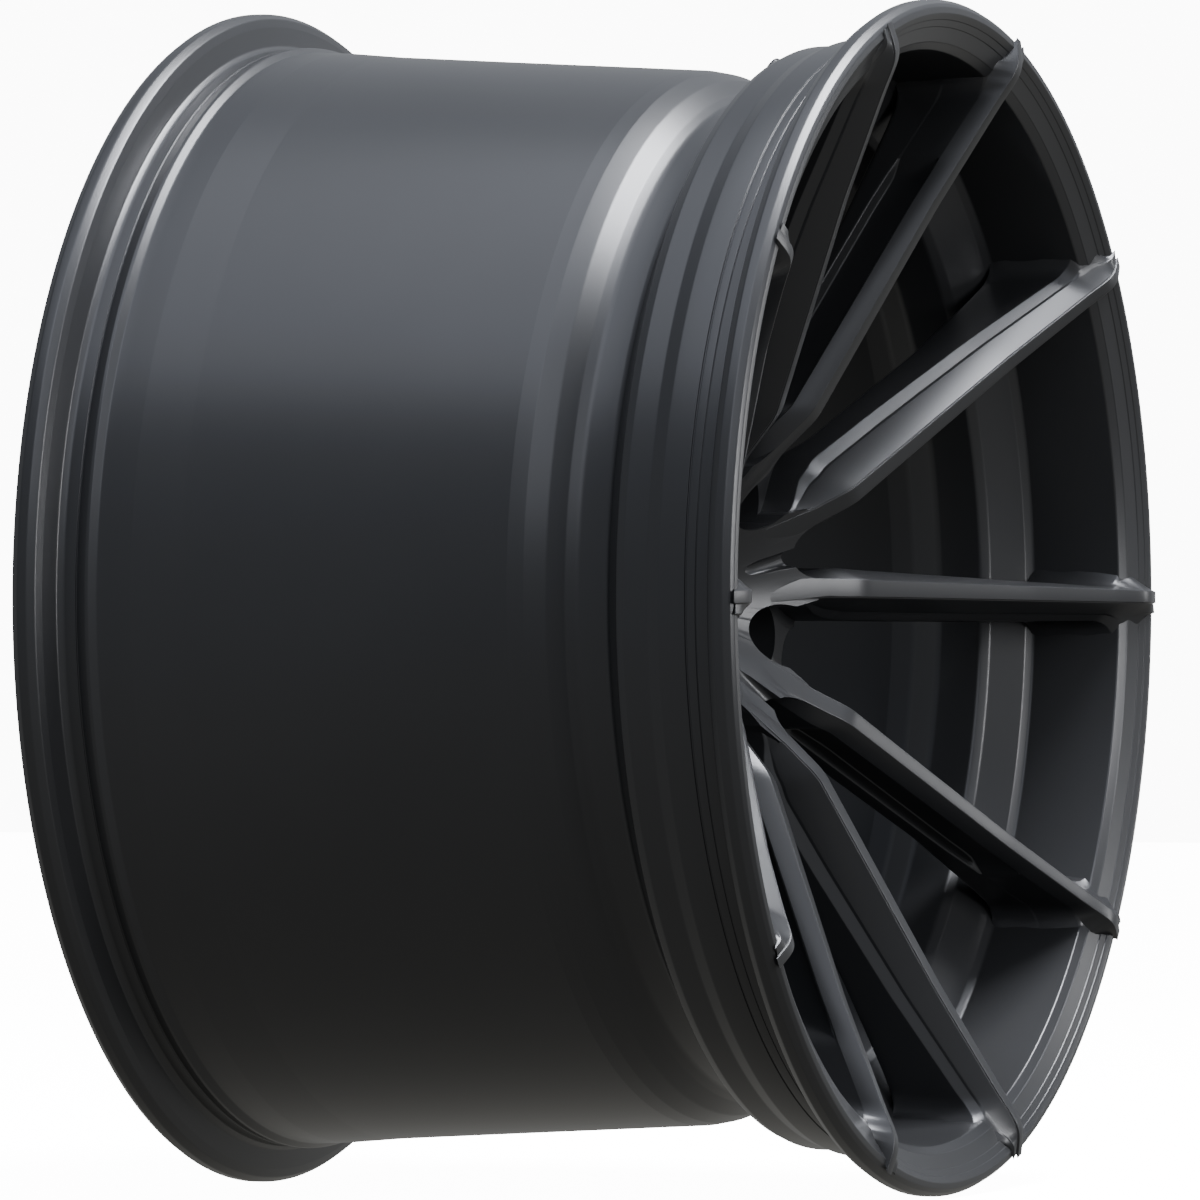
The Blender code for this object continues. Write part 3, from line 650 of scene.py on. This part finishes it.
def make_bolt_inserts():
    edge = INSERT_RADIUS - 0.7
    top = INSERT_FRONT_X - GAP
    cone_depth = (edge - STUD_HOLE_RADIUS) / math.tan(math.radians(30))
    outline = rounded([
        (STUD_HOLE_RADIUS, INSERT_BACK_X, 0.4), (INSERT_RADIUS, INSERT_BACK_X, 0.6),
        (INSERT_RADIUS, top, 0.3), (edge, top, 0.15), (STUD_HOLE_RADIUS, top - cone_depth, 0.5),
    ], 3)
    for index in range(LUG_COUNT):
        centre = spread([(LUG_CIRCLE_RADIUS, 0.0)], FIRST_LUG_ANGLE + index * 2 * SPOKE_STEP)[0]
        sleeve = turned(outline, 64)
        bmesh.ops.translate(sleeve, vec=(centre[0], centre[1], 0), verts=sleeve.verts)
        stand_for(add_object(f"seat_insert_{index + 1}", sleeve), 30, f"lug_seat_insert_{index + 1}")


def make_hub_ring():
    outer = BORE_RADIUS - GAP
    back = PAD_X + 0.6
    outline = rounded([
        (RING_INNER_RADIUS, back, 1.0), (outer, back, 0.8), (outer, back + RING_LENGTH, 0.4),
        (RING_INNER_RADIUS, back + RING_LENGTH, 0.4),
    ], 4)
    stand_for(add_object("centring_ring", turned(outline, 160)), 30, "hub_centring_ring")


def make_centre_cap():
    face_radius = CAP_RECESS_RADIUS - GAP
    ledge = CAP_RECESS_X + GAP
    cap = rounded([
        (0.0, CAP_WEB_X, 0.0), (CAP_SKIRT_RADIUS - 3.5, CAP_WEB_X, 1.2),
        (CAP_SKIRT_RADIUS - 5.0, CAP_BACK_X, 0.4), (CAP_SKIRT_RADIUS, CAP_BACK_X, 0.8),
        (CAP_SKIRT_RADIUS, GROOVE_X[0], 0.2), (GROOVE_RADIUS, GROOVE_X[0], 0.3),
        (GROOVE_RADIUS, GROOVE_X[1], 0.3), (CAP_SKIRT_RADIUS, GROOVE_X[1], 0.2),
        (CAP_SKIRT_RADIUS, ledge, 0.2), (face_radius, ledge, 0.3), (face_radius, CAP_FACE_X, 1.0),
        (PLATE_RADIUS + GAP, CAP_FACE_X, 0.25), (PLATE_RADIUS + GAP, PLATE_FLOOR_X, 0.15),
        (0.0, PLATE_FLOOR_X, 0.0),
    ], 4)
    stand_for(add_object("cap_turning", turned(cap, 160)), 30, "centre_cap")
    plate = rounded([
        (0.0, PLATE_FLOOR_X + GAP, 0.0), (PLATE_RADIUS, PLATE_FLOOR_X + GAP, 0.2),
        (PLATE_RADIUS, CAP_FACE_X + 0.1, 0.4), (PLATE_RADIUS - 2.2, CAP_FACE_X + 0.1, 0.2),
        (PLATE_RADIUS - 2.7, CAP_FACE_X - 0.2, 0.2), (0.0, CAP_FACE_X - 0.2, 0.0),
    ], 3)
    stand_for(add_object("cap_plate", turned(plate, 160)), 30, "centre_cap_plate")
    wire = (GROOVE_X[1] - GROOVE_X[0]) / 2 - 0.3
    ring = arc((CAP_SKIRT_RADIUS - 0.02 - wire, sum(GROOVE_X) / 2), wire, 0, 345, 23)
    stand_for(add_object("o_ring", turned(ring, 160)), 60, "centre_cap_o_ring")


def threaded(low, high, radius, depth):
    """Outline of ridges at the thread's pitch, as (radius, height) points."""
    points = []
    for step in range(int((high - low) / THREAD_PITCH)):
        foot = low + step * THREAD_PITCH
        points.append((radius - depth, foot))
        points.append((radius, foot + 0.35 * THREAD_PITCH))
        points.append((radius, foot + 0.5 * THREAD_PITCH))
    return points + [(radius - depth, high)]


def make_valve(place):
    hole = VALVE_HOLE_RADIUS - 0.4
    seal_back = -SEAT_Z - GAP - 2.4
    head_back = seal_back - GAP - 3.2
    head = rounded([
        (1.4, head_back, 0.3), (HEAD_RADIUS, head_back, 1.2), (HEAD_RADIUS, seal_back - GAP, 0.4),
        (STEM_RADIUS, seal_back - GAP, 0.3), (STEM_RADIUS, 3.0, 0.0),
    ], 4, closed=False)
    mouth = rounded([
        (STEM_RADIUS - 0.4, STEM_LENGTH - 0.5, 0.0), (STEM_RADIUS - 0.6, STEM_LENGTH, 0.2),
        (CORE_RADIUS + GAP, STEM_LENGTH, 0.2), (CORE_RADIUS + GAP, CORE_SEAT_Z, 0.2),
        (1.4, CORE_SEAT_Z - 2.0, 0.0),
    ], 3, closed=False)
    stem = head + threaded(3.2, STEM_LENGTH - 0.7, STEM_RADIUS, 0.4) + mouth
    stand_for(add_object("stem", turned(stem, 48), place), 30, "valve_stem")
    seal = rounded([
        (STEM_RADIUS + GAP, seal_back, 0.3), (HEAD_RADIUS - 0.2, seal_back, 0.9),
        (HEAD_RADIUS - 0.2, -SEAT_Z - GAP, 0.5), (hole, -SEAT_Z - GAP, 0.2), (hole, SEAT_Z - 1.0, 0.3),
        (STEM_RADIUS + GAP, SEAT_Z - 1.0, 0.2),
    ], 3)
    stand_for(add_object("grommet", turned(seal, 48), place), 40, "valve_seal")
    low = SEAT_Z + GAP
    washer = rounded([
        (STEM_RADIUS + GAP, low, 0.1), (WASHER_RADIUS, low, 0.2), (WASHER_RADIUS, low + 1.0, 0.3),
        (STEM_RADIUS + GAP, low + 1.0, 0.1),
    ], 3)
    stand_for(add_object("washer", turned(washer, 64), place), 30, "valve_washer")
    nut_low = low + 1.0 + GAP
    nut = add_object("nut", prism(arc((0, 0), NUT_RADIUS, 0, 300, 5), nut_low, nut_low + 5.0), place)
    bore = STEM_RADIUS + GAP
    hole_cutter = turned(rounded([
        (0.0, nut_low - 2, 0.0), (bore + 2.6, nut_low - 2, 0.0), (bore, nut_low + 0.6, 0.0),
        (bore, nut_low + 4.4, 0.0), (bore + 2.6, nut_low + 7, 0.0), (0.0, nut_low + 7, 0.0),
    ], 1), 48)
    chamfer = turned([
        (0.0, nut_low - 1), (5.9, nut_low - 0.2), (7.4, nut_low + 0.8), (7.4, nut_low + 4.2),
        (5.9, nut_low + 5.2), (0.0, nut_low + 6),
    ], 64)
    boolean(nut, [add_object("nut_bore", hole_cutter, place)], "DIFFERENCE")
    boolean(nut, [add_object("nut_chamfer", chamfer, place)], "INTERSECT")
    stand_for(nut, 30, "valve_nut")
    make_valve_cap(place)


def make_valve_cap(place):
    """Moulded cap with ribs to grip it by."""
    inner = STEM_RADIUS + GAP
    roof = STEM_LENGTH + 1.5
    outline = rounded([
        (inner, VALVE_CAP_OPEN_Z, 0.1), (VALVE_CAP_RADIUS, VALVE_CAP_OPEN_Z, 0.3),
        (VALVE_CAP_RADIUS, VALVE_CAP_TOP_Z - 1.6, 0.6), (VALVE_CAP_RADIUS - 0.9, VALVE_CAP_TOP_Z, 0.5),
        (0.0, VALVE_CAP_TOP_Z, 0.0), (0.0, roof, 0.0), (inner, roof, 0.2),
    ], 3)
    shape = turned(outline, 120)
    for vert in shape.verts:
        radius = math.hypot(vert.co.x, vert.co.y)
        if radius > VALVE_CAP_RADIUS - 0.1 and VALVE_CAP_OPEN_Z + 0.8 < vert.co.z < VALVE_CAP_TOP_Z - 1.8:
            share = 1 - 0.04 * (0.5 + 0.5 * math.cos(24 * math.atan2(vert.co.y, vert.co.x)))
            vert.co.x *= share
            vert.co.y *= share
    stand_for(add_object("dust_cap", shape, place), 30, "valve_cap")


def finish_inner_nodes():
    """The core's small pieces and the cap's gasket keep their CAD shape and get a full finish."""
    for node in INNER_NODES:
        mesh = frame["nodes"][node].data
        mesh.materials.clear()
        mesh.materials.append(LOOKS[SLOT_OF[node]])


CAMERA_LENS = 330.0
CAMERA_DISTANCE = 5.0956
CAMERA_TURN = 22.482


def make_camera():
    data = bpy.data.cameras.new("camera")
    data.lens = CAMERA_LENS
    data.sensor_width = 36.0
    data.clip_end = 100.0
    camera = bpy.data.objects.new("camera", data)
    bpy.context.scene.collection.objects.link(camera)
    turn = math.radians(CAMERA_TURN)
    look = Vector((math.cos(turn), math.sin(turn), 0.0))
    right = look.cross(Vector((0, 0, 1)))
    camera.location = -look * CAMERA_DISTANCE - right * 0.0022 - Vector((0, 0, 0.0009))
    camera.rotation_euler = look.to_track_quat("-Z", "Y").to_euler()
    bpy.context.scene.camera = camera


def area_light(name, place, aim, size, power, colour):
    data = bpy.data.lights.new(name, "AREA")
    data.shape = "RECTANGLE"
    data.size, data.size_y = size
    data.energy = power
    data.color = colour
    light = bpy.data.objects.new(name, data)
    bpy.context.scene.collection.objects.link(light)
    light.location = place
    light.rotation_euler = (Vector(aim) - Vector(place)).to_track_quat("-Z", "Y").to_euler()


# Name, place, aim, size, power, colour
LIGHTS = (
    ("overhead", (-0.75, 0.10, 2.5), (0, 0, 0), (2.2, 3.4), 66, (0.90, 0.93, 1.0)),
    ("front_soft", (-2.4, -1.0, 1.5), (0, 0, 0), (2.0, 1.6), 18, (0.93, 0.95, 1.0)),
    ("key", (0.45, -0.85, 2.0), (0.1, -0.1, 0.1), (1.3, 0.7), 190, (0.97, 0.98, 1.0)),
    ("face_low", (2.0, -2.6, 0.5), (0, 0, 0), (0.5, 1.0), 22, (1.0, 0.99, 0.97)),
    ("strip_face", (-0.75, -3.2, 0.75), (0, 0, 0), (0.22, 1.6), 70, (1.0, 0.99, 0.97)),
)


def make_studio():
    world = bpy.data.worlds.new("studio")
    bpy.context.scene.world = world
    world.use_nodes = True
    nodes = world.node_tree.nodes
    links = world.node_tree.links
    direction = nodes.new("ShaderNodeTexCoord")
    parts = nodes.new("ShaderNodeSeparateXYZ")
    ramp = nodes.new("ShaderNodeValToRGB")
    height = nodes.new("ShaderNodeMapRange")
    height.inputs["From Min"].default_value = -1.0
    links.new(direction.outputs["Generated"], parts.inputs["Vector"])
    links.new(parts.outputs["Z"], height.inputs["Value"])
    links.new(height.outputs["Result"], ramp.inputs["Fac"])
    ramp.color_ramp.elements[0].position = 0.0
    ramp.color_ramp.elements[0].color = (0.34, 0.33, 0.30, 1.0)
    ramp.color_ramp.elements[1].position = 1.0
    ramp.color_ramp.elements[1].color = (0.50, 0.54, 0.62, 1.0)
    middle = ramp.color_ramp.elements.new(0.5)
    middle.color = (0.46, 0.47, 0.48, 1.0)
    low = ramp.color_ramp.elements.new(0.3)
    low.color = (0.42, 0.415, 0.39, 1.0)
    background = nodes["Background"]
    background.inputs["Strength"].default_value = 1.0
    links.new(ramp.outputs["Color"], background.inputs["Color"])
    white = nodes.new("ShaderNodeBackground")
    white.inputs["Strength"].default_value = 14.0
    seen = nodes.new("ShaderNodeLightPath")
    mix = nodes.new("ShaderNodeMixShader")
    links.new(seen.outputs["Is Camera Ray"], mix.inputs["Fac"])
    links.new(background.outputs["Background"], mix.inputs[1])
    links.new(white.outputs["Background"], mix.inputs[2])
    links.new(mix.outputs["Shader"], nodes["World Output"].inputs["Surface"])
    for light in LIGHTS:
        area_light(*light)


FLOOR_SIZE = 14.0
FLOOR_CLEARANCE = 0.0006
FLOOR_GLOW = 13.5


def make_floor():
    """Pale floor that glows evenly to the camera and adds no light to the wheel."""
    low = CAD_BOUNDS[0][2] - FLOOR_CLEARANCE
    bpy.ops.mesh.primitive_plane_add(size=FLOOR_SIZE, location=(0, 0, low))
    floor = bpy.context.active_object
    floor.name = "floor"
    made = finish("floor", (0.90, 0.90, 0.90), 0.9, 0.0)
    shader = made.node_tree.nodes["Principled BSDF"]
    shader.inputs["Emission Color"].default_value = (1, 1, 1, 1)
    shader.inputs["Emission Strength"].default_value = FLOOR_GLOW
    floor.data.materials.append(made)
    floor.visible_diffuse = False
    floor.visible_glossy = False


make_camera()
make_studio()
make_floor()
VALVE_PLACE = valve_place()
make_forging(VALVE_PLACE)
make_bolt_inserts()
make_hub_ring()
make_centre_cap()
make_valve(VALVE_PLACE)
finish_inner_nodes()
